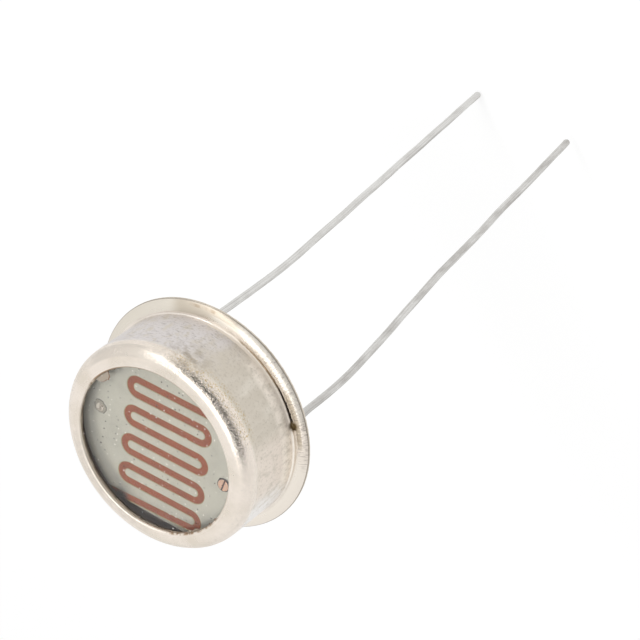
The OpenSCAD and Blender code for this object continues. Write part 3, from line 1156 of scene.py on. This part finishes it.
@dataclass
class Can:
    """The drawn can: a sheet with a rolled rim, and a welded, creased foot flange.

    Attributes:
        crease: the angles between which the flange is creased, deepest at the first.
        crease_half: half the crease's width, where it ends and where it is deepest.
        crease_fade: how fast it narrows from the first angle on.
        weld: the angles between which the weld's marks show.
        weld_from: the distances from the axis over which the marks begin.
        foot_points: how many of the section's points belong to the flange's upper face.
        wave_from: the heights over which the wall's waves begin.
    """

    outer_r: float = 6.2
    foot: float = 0.12
    top: float = 4.86
    sheet: float = 0.2
    rim_round: float = 0.95
    foot_round: float = 0.12
    lip_round: float = 0.15
    flange_crown: float = 1.1
    flange_edge: float = 0.02
    wave: float = 0.008
    wave_from: Profile = (0.6, 1.4)
    crease: Profile = (28.0, 78.0)
    crease_r: float = 6.32
    crease_half: Profile = (0.03, 0.1)
    crease_depth: float = 0.13
    crease_fade: float = 1.6
    pit_half: float = 0.25
    pit_r: float = 6.33
    weld: Profile = (13.0, 72.0)
    weld_from: Profile = (6.45, 6.6)
    weld_pitch: float = 0.14
    weld_depth: float = 0.006
    weld_lift: float = 0.006
    foot_points: int = 40
    foot_height: float = 0.6
    plate: NickelPlate = field(default_factory=NickelPlate)

    def crown_fall(self, width: float) -> float:
        """Gives how far the flange's crowned face has fallen at a distance from the wall."""
        return self.flange_crown - math.sqrt(self.flange_crown ** 2 - width ** 2)

    def section(self) -> list[Profile]:
        """Gives the sheet's closed section.

        Returns:
            Its points, outside first, from the flange's underside round.
        """
        flange_w = PART.flange_r - self.outer_r
        low, flange_top = self.foot, self.foot + self.flange_edge + self.crown_fall(flange_w)
        under, shoulder = self.top - self.sheet, self.top - self.rim_round
        rim_r, foot_r = self.outer_r - self.rim_round, self.outer_r + self.foot_round
        lip_r, inner_round = PART.window_r + self.lip_round, self.foot_round + self.sheet
        fillet = (foot_r, flange_top - 2 * self.crown_fall(self.foot_round) + self.foot_round)
        crown = (self.outer_r, flange_top - self.flange_crown)
        edge_tilt = math.degrees(math.acos(flange_w / self.flange_crown))
        toe_tilt = math.degrees(math.acos(self.foot_round / self.flange_crown))
        return [
            (PART.flange_r, low),
            *arc(crown, self.flange_crown, edge_tilt, toe_tilt, 26),
            *arc(fillet, self.foot_round, 258, 180, 9),
            *line((self.outer_r, fillet[1]), (self.outer_r, shoulder), 16),
            *arc((rim_r, shoulder), self.rim_round, 0, 90, 22),
            *line((rim_r, self.top), (lip_r, self.top), 3),
            *arc((lip_r, self.top - self.lip_round), self.lip_round, 90, 180, 8),
            (PART.window_r, under),
            *arc((rim_r, shoulder), self.rim_round - self.sheet, 90, 0, 8),
            *arc((foot_r, low + self.foot_round + self.sheet), inner_round, 180, 270, 8),
        ]

    def groove(self, angle: float, r: float) -> float:
        """Gives how deep the crease is at a point of the flange.

        Args:
            angle: the point's angle round the can, in degrees.
            r: its distance from the axis.

        Returns:
            The depth in millimetres.
        """
        start, end = self.crease
        if angle >= end:
            return 0.0
        left = math.sin(math.radians(end - angle)) / math.sin(math.radians(end - start))
        open_share = max(0.0, left) ** self.crease_fade
        begun = ramp(angle, start - 1.5, start)
        thin, wide = self.crease_half
        wander = 0.03 * ripple(angle * 0.8, 4.0)
        away = (r - self.crease_r - wander) / (thin + (wide - thin) * open_share)
        return max(0.0, 1 - away * away) * open_share * begun * self.crease_depth

    def chip(self, angle: float, r: float) -> float:
        """Gives how deep the rough pit at the crease's end is at a point of the flange.

        Args:
            angle: the point's angle round the can, in degrees.
            r: its distance from the axis.

        Returns:
            The depth in millimetres.
        """
        along = math.radians(angle - self.crease[0]) * r / self.pit_half
        aside = (r - self.pit_r) / (0.8 * self.pit_half)
        off = max(abs(along), abs(aside), 0.75 * abs(along + aside))
        off += 0.25 * ripple(along * 1.3, aside * 1.3, 8.0)
        return self.crease_depth * (1 - ramp(off, 0.6, 0.9))

    def weld_mark(self, angle: float, r: float) -> float:
        """Gives how far the weld stands proud at a point of the flange.

        Args:
            angle: the point's angle round the can, in degrees.
            r: its distance from the axis.

        Returns:
            The height in millimetres.
        """
        first, last = self.weld
        welded = ramp(angle, first - 0.2, first + 0.2) * (1 - ramp(angle, last - 12, last))
        ridge = ripple(math.radians(angle) * r / self.weld_pitch, 9.0, r * 0.6)
        return welded * ramp(r, *self.weld_from) * (self.weld_lift + self.weld_depth * ridge)

    def sink(self, angle: float, r: float) -> float:
        """Gives how far the flange's upper face is pressed in at a point.

        Args:
            angle: the point's angle round the can, in degrees.
            r: its distance from the axis.

        Returns:
            The depth in millimetres, which is negative where the weld stands proud.
        """
        return max(self.groove(angle, r), self.chip(angle, r)) - self.weld_mark(angle, r)

    def build(self) -> None:
        """Builds the can's sheet with its waves, crease, pit and weld marks."""
        section = self.section()
        foot_top = section[0][1] + self.foot_height
        flange = [
            0 < i < self.foot_points and self.outer_r + 0.005 < r < PART.flange_r - 0.01 and z < foot_top
            for i, (r, z) in enumerate(section)
        ]
        rows = []
        for angle in round_steps(1.0, 0.25, 5.0, 85.0):
            row = []
            for (r, z), on_flange in zip(section, flange):
                down = self.sink(angle, r) if on_flange else 0.0
                wave = self.wave * ripple_round(angle, 1.6, 0.4 * z)
                row.append(turned(angle, r + wave * ramp(z, *self.wave_from), z - down))
            rows.append(row)
        add_piece("can_shell", rows, "can", self.plate)


@dataclass
class Header:
    """The stamped header and the glass beads that hold the leads in it."""

    bead_r: float = 0.95
    height: float = 1.3
    recess: float = 0.08
    climb: float = 0.07
    steps: int = 18
    plate: HeaderPlate = field(default_factory=HeaderPlate)
    glass: BeadGlass = field(default_factory=BeadGlass)

    def meniscus(self, r: float, angle: float) -> float:
        """Gives how far the glass climbs at a distance from the bead's axis.

        Args:
            r: the distance from the axis.
            angle: the angle round the bead, in degrees.

        Returns:
            The climb in millimetres.
        """
        by_lead = math.exp(-(r - PART.wire_r) / 0.08)
        by_wall = math.exp(-(self.bead_r - r) / 0.1)
        return self.climb * (by_lead + 0.7 * by_wall) + 0.006 * ripple(angle / 40, r * 3)

    def build(self) -> None:
        """Builds the beads, drawn up at the wire and at the hole's wall, and dresses the header."""
        self.plate.dress(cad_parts["header"])
        span, top = self.bead_r - PART.wire_r, self.height - self.recess
        radii = [
            PART.wire_r + span * (0.5 - 0.5 * math.cos(math.pi * i / self.steps))
            for i in range(self.steps + 1)
        ]
        for side in Side:
            rows = []
            for angle in (3.0 * i for i in range(120)):
                low = [(r, self.recess - self.meniscus(r, angle)) for r in radii]
                high = [(r, top + self.meniscus(r, angle + 77)) for r in reversed(radii)]
                rows.append([turned(angle, r, z, side * PART.lead_x) for r, z in low + high])
            name = "bead_" + side.name.lower()
            add_piece(name + "_glass", rows, name, self.glass)


@dataclass
class Window:
    """The window glass and its sealant, with a ragged bead and one drop inside the opening.

    Attributes:
        bead: the ragged bead's least and greatest width.
        thin_bead: the bead's greatest width elsewhere.
        ragged: the angles between which the bead is ragged, and its fading width beyond them.
    """

    glass_r: float = 5.395
    glass_under: float = 4.1
    glass_edge: float = 0.07
    rim_r: float = 5.25
    shoulder: float = 3.91
    inner_round: float = 0.75
    bead: Profile = (0.012, 0.13)
    thin_bead: float = 0.03
    ragged: tuple[Bound, Bound] = ((80.0, 158.0, 8.0), (298.0, 338.0, 8.0))
    bead_lift: float = 0.16
    drop_angle: float = 148.0
    drop_half: float = 0.56
    drop_w: float = 0.4
    drop_h: float = 0.1
    steps: int = 8
    glass: WindowGlass = field(default_factory=WindowGlass)
    resin: SealantResin = field(default_factory=SealantResin)

    def bead_at(self, angle: float) -> tuple[float, float]:
        """Gives the sealant's bead at an angle.

        Args:
            angle: the angle round the can, in degrees.

        Returns:
            The bead's width, and how much of it is the drop, from 0 to 1.
        """
        uneven = ripple_round(angle, 14) + 0.6 * ripple_round(angle, 41)
        at = angle % 360
        rough = max(
            ramp(at, start - soft, start) * (1 - ramp(at, end, end + soft))
            for start, end, soft in self.ragged
        )
        low, high = self.bead
        high = self.thin_bead + (high - self.thin_bead) * rough
        width = low + (high - low) * ramp(uneven, -0.35, 0.75)
        off = math.radians(angle - self.drop_angle) * PART.window_r / self.drop_half
        share = math.sqrt(1 - off * off) if abs(off) < 1 else 0.0
        return width + self.drop_w * share, share

    def section(self, angle: float) -> list[Profile]:
        """Gives the sealant's closed section at an angle.

        Args:
            angle: the angle round the can, in degrees.

        Returns:
            Its points, from the bead's toe round.
        """
        width, share = self.bead_at(angle)
        lift = max(PART.rim_under - PART.glass_top + 0.005, min(self.bead_lift, width))
        points = []
        for i in range(self.steps + 1):
            k = i / self.steps
            hollow = lift * (1 - math.sqrt(max(0.0, 1 - k * k)))
            dome = self.drop_h * math.sqrt(1 - (1 - k) ** 2) + 0.5 * lift * k ** 8
            rise = hollow * (1 - share) + dome * share
            points.append((PART.window_r - width * (1 - k), PART.glass_top + rise))
        end = math.degrees(math.asin((self.glass_under - self.shoulder) / self.inner_round))
        edge = (self.glass_r - self.glass_edge, PART.glass_top - self.glass_edge)
        return [
            *points,
            (PART.window_r, PART.rim_under),
            *arc((self.rim_r, self.shoulder), self.inner_round, 90, end, 7),
            (self.glass_r, self.glass_under),
            *arc(edge, self.glass_edge, 0, 90, 3),
        ]

    def build(self) -> None:
        """Builds the sealant ring and dresses the glass."""
        self.glass.dress(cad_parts["window_glass"])
        angles = round_steps(0.75, 0.3, self.drop_angle - 8, self.drop_angle + 8)
        rows = [[turned(angle, r, z) for r, z in self.section(angle)] for angle in angles]
        add_piece("sealant_ring", rows, "window_seal", self.resin)


@dataclass
class Cell:
    """The ceramic base with its layers, electrodes and the cement round the lead heads."""

    collar_w: dict[Side, float] = field(default_factory=lambda: {Side.LEFT: 0.17, Side.RIGHT: 0.08})
    collar_h: float = 0.05
    steps: int = 7
    ceramic: FiredCeramic = field(default_factory=FiredCeramic)
    layer: PhotoFilm = field(default_factory=PhotoFilm)
    film: ElectrodeFilm = field(default_factory=ElectrodeFilm)
    cement: ContactCement = field(default_factory=ContactCement)

    def collar(self, side: Side, angle: float) -> list[Vector]:
        """Gives a collar's closed section at an angle round its lead.

        Args:
            side: which of the leads it is.
            angle: the angle round the lead, in degrees.

        Returns:
            The section's points.
        """
        dab = ripple_round(angle, 2.5, side * 3.0)
        width, head_r = self.collar_w[side] * (1 + 0.5 * dab), PART.head_r[side]
        section = [(head_r, 0.0), (head_r, self.collar_h)]
        for i in range(1, self.steps + 1):
            swell = math.sqrt(1 - (i / self.steps) ** 2)
            section.append((head_r + width * i / self.steps, self.collar_h * (1 + 0.2 * dab) * swell))
        return [turned(angle, r, PART.film_top + z, side * PART.lead_x) for r, z in section]

    def build(self) -> None:
        """Builds the cement collars, each dabbed on by hand, and dresses the layers."""
        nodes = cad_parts
        self.ceramic.dress(nodes["ceramic_base"])
        self.layer.dress(nodes["photo_layer"])
        self.film.dress(nodes["electrode_left"], nodes["electrode_right"])
        for side in Side:
            rows = [self.collar(side, 3.0 * i) for i in range(120)]
            name = "contact_" + side.name.lower()
            add_piece(name + "_collar", rows, name, self.cement)


@dataclass
class Leads:
    """The two lead wires, each bent off and back under the header and then slightly bowed.

    Attributes:
        toward: the level direction that the bends lean to.
        step: the distance between the wire's rings.
        wobble: how far the wire strays from its line.
        bends: for each lead, where along it each bend starts and ends, and its angle in degrees.
        length: for each lead, from the seating plane to the start of its rounded tip.
    """

    head_h: float = 0.09
    head_round: float = 0.03
    notch_half: float = 0.035
    notch_depth: float = 0.07
    toward: float = 150.0
    step: float = 0.15
    wobble: float = 0.045
    sides: int = 32
    bends: dict[Side, list[Bound]] = field(default_factory=lambda: {
        Side.LEFT: [(0.15, 1.65, 8.0), (3.45, 4.95, -8.0), (8.6, 17.6, 4.7)],
        Side.RIGHT: [(0.15, 1.65, 8.0), (3.45, 4.95, -8.0), (4.55, 12.05, 7.5), (16.6, 22.6, -1.7)],
    })
    length: dict[Side, float] = field(default_factory=lambda: {Side.LEFT: 39.7, Side.RIGHT: 39.0})
    wire: TinnedWire = field(default_factory=TinnedWire)

    def pressed(self, side: Side, x: float, y: float) -> float:
        """Gives how far a head's face is pressed in at a point.

        Args:
            side: which of the leads it is.
            x: the point's X from the lead's axis.
            y: its Y from there.

        Returns:
            The depth in millimetres.
        """
        if side is Side.RIGHT:
            cut = math.radians(PART.head_slot_angle)
            off = abs(x * math.sin(cut) - y * math.cos(cut))
            return self.notch_depth * (1 - ramp(off, 0.6 * self.notch_half, 1.3 * self.notch_half))
        dent = 0.03 * math.exp(-((x - 0.06) ** 2 + (y - 0.08) ** 2) / 0.012)
        return dent + 0.008 * ripple(9 * x, 9 * y)

    def head_rings(self, side: Side, aside: Vector) -> list[list[Vector]]:
        """Gives the rings of a lead's upset head.

        Args:
            side: which of the leads it is.
            aside: the level direction square to its bends.

        Returns:
            The rings of points, from its middle out and down to the wire.
        """
        film_top, head_r, lead_x = PART.film_top, PART.head_r[side], side * PART.lead_x
        top = film_top + self.head_h
        edge = (head_r - self.head_round, top - self.head_round)
        section = [
            *((head_r * k / 16, top) for k in range(1, 15)),
            *arc(edge, self.head_round, 80, 0, 4),
            (head_r, film_top + 0.01), (head_r - 0.01, film_top), (PART.wire_r, film_top),
        ]
        rings = []
        for r, z in section:
            ring = self.ring(Vector((lead_x, 0, z)), DOWN, aside, r)
            for point in ring:
                down = self.pressed(side, point.x - lead_x, point.y)
                point.z -= down * ramp(z, film_top + 0.03, top)
            rings.append(ring)
        return rings

    def wire_rings(self, side: Side, outward: Vector, aside: Vector) -> list[list[Vector]]:
        """Gives the rings of a lead's wire, from under its head to its rounded tip.

        Args:
            side: which of the leads it is.
            outward: the level direction that its bends lean to.
            aside: the level direction square to that.

        Returns:
            The rings of points.
        """
        at = Vector((side * PART.lead_x, 0, PART.film_top - 0.05))
        rings, run = [], -at.z
        while run <= self.length[side]:
            lean = math.radians(sum(
                angle * ramp(run, first, last) for first, last, angle in self.bends[side]
            ))
            ahead = outward * math.sin(lean) + DOWN * math.cos(lean)
            free = ramp(run, 1.0, 6.0)
            shake = outward * ripple(run / 3.4, side * 7.0) + aside * ripple(run / 3.0, side * 11.0 + 3)
            r = PART.wire_r * (1 + 0.02 * free * ripple(run / 0.9, side * 5.0))
            tip = at + shake * self.wobble * free
            rings.append(self.ring(tip, ahead, aside, r))
            at = at + ahead * self.step
            run += self.step
        for i in range(1, 6):
            tilt = math.radians(18 * i - 2)
            further = tip + ahead * PART.wire_r * math.sin(tilt)
            rings.append(self.ring(further, ahead, aside, PART.wire_r * math.cos(tilt)))
        return rings

    def ring(self, at: Vector, ahead: Vector, aside: Vector, r: float) -> list[Vector]:
        """Gives a ring of points round a wire, square to it.

        Args:
            at: the ring's middle.
            ahead: the wire's direction.
            aside: the level direction square to that.
            r: the ring's radius.

        Returns:
            The points.
        """
        across = aside.cross(ahead)
        turns = [2 * math.pi * i / self.sides for i in range(self.sides)]
        return [at + (across * math.cos(t) + aside * math.sin(t)) * r for t in turns]

    def build(self) -> None:
        """Builds both leads with their heads."""
        outward = turned(self.toward, 1.0, 0.0)
        aside = outward.cross(DOWN)
        for side in Side:
            rings = self.head_rings(side, aside) + self.wire_rings(side, outward, aside)
            name = "lead_" + side.name.lower()
            add_piece(name + "_wire", rings, name, self.wire, closed=False)


@dataclass
class Studio:
    """Table, white tent, strip lamp, dark card and camera.

    Attributes:
        along: direction of the strip lamp.
        across: level direction square to the lamp, towards the camera's side.
        lamp_span: where the lamp starts and ends along it, as shares of its height.
        lamp_offset: how far the lamp hangs across, as a share of its height.
        lamp_width: the lamp's width, as a share of its height.
        card_toward: direction of the dark card, as angles round and above the table.
        card_half: half the card's width and height, as angles seen from the part.
        tent_light: how strongly the tent lights the object, where it shows at 1.
        table_lit: the table's grey as it lights the object.
        table_seen: its grey as it is seen, with table_glow added.
    """

    eye: Point = (50.03, 87.43, 94.53)
    aim: Point = (2.586, 5.251, -5.672)
    roll: float = -126.29
    lens: float = 140.625
    sensor: float = 36.0
    clip: Profile = (0.001, 10.0)
    height: float = 200.0
    along: Point = (-0.8, 0.6, 0.0)
    across: Point = (0.6, 0.8, 0.0)
    lamp_span: Profile = (-0.35, 3.0)
    lamp_offset: float = 0.25
    lamp_width: float = 0.3
    lamp_power: float = 0.42
    card_toward: Profile = (57.0, 42.0)
    card_half: Profile = (47.0, 23.0)
    card_away: float = 300.0
    card_colour: str = "#38342F"
    table_half: float = 3000.0
    table_lit: float = 0.8
    table_seen: float = 0.4
    table_glow: float = 0.69
    tent_light: float = 0.6

    def build(self) -> None:
        """Builds the whole studio."""
        self.build_camera()
        self.build_tent()
        self.build_table()
        self.build_lamp()
        self.build_card()

    def build_camera(self) -> None:
        """Sets the camera at the photograph's viewing angle."""
        data = bpy.data.cameras.new("camera")
        data.lens, data.sensor_width = self.lens, self.sensor
        data.clip_start, data.clip_end = self.clip
        camera = add_object("camera", data)
        ahead = Vector(self.aim) - Vector(self.eye)
        camera.rotation_mode = "QUATERNION"
        roll = Quaternion((0, 0, 1), math.radians(self.roll))
        camera.rotation_quaternion = ahead.to_track_quat("-Z", "Y") @ roll
        camera.location = Vector(self.eye) * MM
        bpy.context.scene.camera = camera

    def seen_rays(self, tree: Tree) -> Socket:
        """Adds a value that tells rays that show a thing from rays that light it.

        Args:
            tree: the node tree that takes it.

        Returns:
            The value, which is 1 for rays that show the thing.
        """
        camera = add_node(tree, "LightPath", out="Is Camera Ray")
        rays = camera.node.outputs
        either = add_node(tree, "Math", {0: camera, 1: rays["Is Glossy Ray"]}, operation="MAXIMUM")
        return add_node(tree, "Math", {0: either, 1: rays["Is Transmission Ray"]}, operation="MAXIMUM")

    def build_tent(self) -> None:
        """Makes the white tent, which lights the object less than it shows."""
        world = bpy.data.worlds.new("white_tent")
        bpy.context.scene.world = world
        tree = blank_tree(world)
        strength = add_node(
            tree, "MapRange",
            {Range.VALUE: self.seen_rays(tree), Range.TO_LOW: self.tent_light, Range.TO_HIGH: 1.0},
        )
        shader = add_node(tree, "Background", {"Color": WHITE, "Strength": strength})
        add_node(tree, "OutputWorld", {"Surface": shader})

    def build_panel(
        self, name: str, centre: Vector, halves: tuple[Vector, Vector], material: bpy.types.Material,
    ) -> bpy.types.Object:
        """Makes a flat four-cornered panel of the studio.

        Args:
            name: the panel's name.
            centre: its middle, in millimetres.
            halves: half its width and half its height, in millimetres.
            material: what it is made of.

        Returns:
            The panel.
        """
        mesh = bpy.data.meshes.new(name)
        corners = [centre + halves[0] * u + halves[1] * v for u, v in SQUARE]
        mesh.from_pydata([corner * MM for corner in corners], [], [(0, 1, 2, 3)])
        mesh.materials.append(material)
        panel = add_object(name, mesh)
        return panel

    def table_shader(self, tree: Tree) -> Socket:
        """Adds the nodes of a matt white table, which shows whiter than it lights.

        Args:
            tree: the material's node tree.

        Returns:
            The shader.
        """
        matt, part = (
            add_node(tree, "BsdfDiffuse", {"Color": (grey, grey, grey, 1)})
            for grey in (self.table_lit, self.table_seen)
        )
        glow = add_node(tree, "Emission", {"Color": WHITE, "Strength": self.table_glow})
        white = add_node(tree, "AddShader", {0: part, 1: glow})
        return add_node(tree, "MixShader", {0: self.seen_rays(tree), 1: matt, 2: white})

    def build_table(self) -> None:
        """Lays a matt white table under the lead tips, which keeps the object's shadow."""
        half, low = self.table_half, CAD_BOX[0].z / MM
        halves = Vector((half, 0, 0)), Vector((0, half, 0))
        material = new_material("table_matt_white", self.table_shader)
        self.build_panel("table", Vector((0, 0, low)), halves, material)

    def build_lamp(self) -> None:
        """Hangs a long strip lamp over the object."""
        h, along, across = self.height, Vector(self.along), Vector(self.across)
        start, end = self.lamp_span
        data = bpy.data.lights.new("strip_lamp", "AREA")
        data.shape = "RECTANGLE"
        data.size, data.size_y = (end - start) * h * MM, self.lamp_width * h * MM
        data.energy = self.lamp_power
        lamp = add_object("strip_lamp", data)
        spot = along * (start + end) / 2 * h + across * self.lamp_offset * h - DOWN * h
        lamp.location = spot * MM
        lamp.rotation_mode = "QUATERNION"
        turn = Matrix((along, along.cross(DOWN), -DOWN)).transposed()
        lamp.rotation_quaternion = turn.to_quaternion()
        lamp.visible_camera = False

    def build_card(self) -> None:
        """Stands a dark card behind the camera, which only the metal's gloss sees."""
        turn, tilt = (math.radians(v) for v in self.card_toward)
        back = Vector((math.cos(turn) * math.cos(tilt), math.sin(turn) * math.cos(tilt), math.sin(tilt)))
        side = Vector((-math.sin(turn), math.cos(turn), 0))
        half_w, half_h = (self.card_away * math.tan(math.radians(v)) for v in self.card_half)
        material = new_material("card_matt_dark", lambda tree: add_node(
            tree, "Emission", {"Color": linear(self.card_colour), "Strength": 1.0},
        ))
        halves = side * half_w, back.cross(side) * half_h
        card = self.build_panel("dark_card", back * self.card_away, halves, material)
        card.visible_camera = card.visible_diffuse = False
        card.visible_shadow = card.visible_transmission = False


def main() -> None:
    """Builds the studio and every piece of the part."""
    logging.basicConfig(level=logging.INFO, format="%(name)s: %(message)s")
    Studio().build()
    for assembly in (Can(), Header(), Window(), Cell(), Leads()):
        assembly.build()
    bpy.context.scene.view_settings.view_transform = "Standard"


if __name__ == "__main__":
    main()
